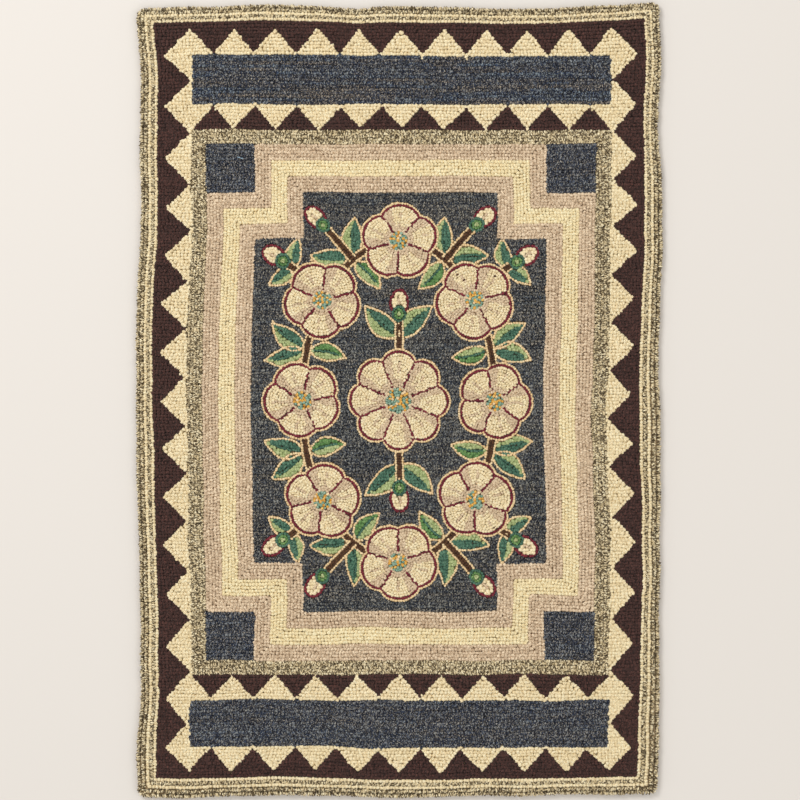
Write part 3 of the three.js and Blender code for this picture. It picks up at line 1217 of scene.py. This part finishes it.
def linen():
    """Natural linen: an even weave in its own colour, with painted shade between its threads."""
    material, tree, shader = new_material("natural_linen")
    place = add_node(tree, "ShaderNodeTexCoord").outputs["Object"]
    threads = []
    for direction in ("X", "Y"):
        wave = add_node(tree, "ShaderNodeTexWave", wave_type="BANDS", bands_direction=direction)
        tree.links.new(place, wave.inputs["Vector"])
        wave.inputs["Scale"].default_value = 180.0
        wave.inputs["Distortion"].default_value = 0.6
        wave.inputs["Detail Scale"].default_value = 3.0
        threads.append(wave.outputs["Fac"])
    weave = calculate(tree, "MAXIMUM", *threads)
    slubs = noise_on(tree, place, 220.0, 3.0)
    colour = mix_colours(tree, slubs, rgb(168, 140, 104), rgb(206, 182, 142))
    # Painted shade between the threads of the weave.
    shade = in_range(tree, weave, 0.2, 0.9, 0.6, 1.0)
    colour = mix_colours(tree, 1.0, colour, shade, "MULTIPLY")
    tree.links.new(colour, shader.inputs["Base Color"])
    tree.links.new(in_range(tree, slubs, 0.2, 0.8, 0.8, 0.95), shader.inputs["Roughness"])
    raise_surface(tree, shader, weave, strength=0.6, distance=0.0004)
    return material


# --------------------------------------------------------------------------- linen slab
def inset_outline(distance):
    """The rug's outline moved inwards, in millimetres."""
    return rim * (1 - distance / np.array([HALF_WIDTH, HALF_LENGTH]))


# The slab from the middle of its back, over the hem and the fold, to the middle of its
# top: the inset from the rug's edge and the height of each corner.
SLAB_PROFILE = [
    (HEM_WIDTH + 0.6, HEM_DEPTH), (HEM_WIDTH, 0.1), (HEM_WIDTH - 0.8, 0.0), (3.2, 0.0),
    (1.9, 0.35), (LINEN_INSET, 1.2), (LINEN_INSET, 2.2), (1.9, 3.05), (3.2, LINEN_TOP),
]


def linen_slab():
    """The foundation: one closed slab with a rounded fold and a hem turned under."""
    bpy.ops.mesh.primitive_circle_add(vertices=len(rim), radius=0.3, fill_type="NGON")
    slab = added()
    slab.name = "linen_foundation"
    mesh = slab.data
    for number, (inset, height) in enumerate(SLAB_PROFILE):
        if number:
            editing(True)
            bpy.ops.mesh.extrude_region_move(TRANSFORM_OT_translate={"value": (0, 0, MM)})
            editing(False)
        ring = [point for point in mesh.vertices if point.select]
        for point, (x, y) in zip(ring, inset_outline(inset)):
            point.co = (x * MM, y * MM, height * MM)
    editing(True)
    bpy.ops.mesh.select_all(action="SELECT")
    bpy.ops.mesh.normals_make_consistent(inside=False)
    editing(False)
    mesh.materials.append(linen())
    only_this(slab)
    bpy.ops.object.shade_smooth_by_angle(angle=math.radians(50))
    return slab


# --------------------------------------------------------------------------- the work
def hook_pattern():
    """Draws the pattern and hooks all of it. Returns its loops."""
    outlines = draw_pattern()
    hook_border()
    hook_marl_frame()
    hook_stepped_frame()
    for outline in outlines:
        hook_line(outline, tooth_yarn, row=3.7, step=3.3, sway=0.8, feet=1.6)
    hook_wreath()
    hook_rows()
    hook_stray_thread()
    loops = hooking.table()
    settle(loops)
    spots, yarns = plug_gaps(loops)
    hooking.rows = [np.column_stack([loops[name] for name in Hooking.FIELDS])]
    hooking.add(spots, random.uniform(0, math.pi, len(spots)), yarns, **PLUG)
    return hooking.table()


loops = hook_pattern()
materials = {}
pile = []
for part, dye in PARTS.items():
    chosen = loops["yarn"] == chart.number(part)
    if not chosen.any():
        continue
    piece = pile_mesh(part + "_loops", {name: values[chosen] for name, values in loops.items()})
    if dye not in materials:
        materials[dye] = wool(dye)
    piece.data.materials.append(materials[dye])
    pile.append(piece)

slab = linen_slab()
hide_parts(RUG_NODE)
for piece in [slab, *pile]:
    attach(piece, "root")


# --------------------------------------------------------------------------- stage
def pale_floor():
    """The floor that the rug lies on."""
    bpy.ops.mesh.primitive_plane_add(size=12, location=(0, 0, 0))
    floor = added()
    floor.name = "floor"
    material, _, shader = new_material("pale_floor")
    shader.inputs["Base Color"].default_value = rgb(208, 203, 197)
    shader.inputs["Roughness"].default_value = 0.8
    floor.data.materials.append(material)
    return floor


def soft_light(name, place, size, power):
    """A round lamp that shines at the middle of the rug."""
    light = bpy.data.lights.new(name, "AREA")
    light.shape = "DISK"
    light.size = size
    light.energy = power
    lamp = bpy.data.objects.new(name, light)
    lamp.location = place
    direction = -np.array(place)
    lamp.rotation_euler = (
        math.atan2(math.hypot(direction[0], direction[1]), -direction[2]), 0,
        math.atan2(direction[0], -direction[1]) + math.pi)
    bpy.context.scene.collection.objects.link(lamp)


def studio():
    """Even daylight, a window on one side and a weaker lamp on the other."""
    world = bpy.data.worlds.new("studio")
    bpy.context.scene.world = world
    world.use_nodes = True
    background = world.node_tree.nodes["Background"]
    background.inputs["Color"].default_value = (1.0, 0.98, 0.95, 1.0)
    background.inputs["Strength"].default_value = 0.89
    soft_light("window_light", place=(-1.6, 1.8, 2.6), size=1.6, power=62)
    soft_light("fill_light", place=(1.8, -1.2, 2.8), size=2.4, power=15)
    bpy.context.scene.view_settings.view_transform = "Standard"


FRAME_SIDE = 800                # the square view's side, in pixels
LENGTH_IN_VIEW = 790            # and the rug's length in it
VIEW_SHIFT = (1.0, 0.8)         # how far left of and below its middle the rug lies, in pixels
PIXEL = 2 * HALF_LENGTH * MM / LENGTH_IN_VIEW      # how much of the rug one pixel shows
CAMERA_HEIGHT = 3.2
SENSOR = 36.0                   # the camera's sensor, in millimetres


def camera():
    """Looks straight down at the rug, which almost fills the view."""
    data = bpy.data.cameras.new("camera")
    data.sensor_width = SENSOR
    data.lens = SENSOR * (CAMERA_HEIGHT - PILE_TOP * MM) / (FRAME_SIDE * PIXEL)
    data.clip_end = 50
    view = bpy.data.objects.new("camera", data)
    view.location = (VIEW_SHIFT[0] * PIXEL, VIEW_SHIFT[1] * PIXEL, CAMERA_HEIGHT)
    bpy.context.scene.collection.objects.link(view)
    bpy.context.scene.camera = view


pale_floor()
studio()
camera()
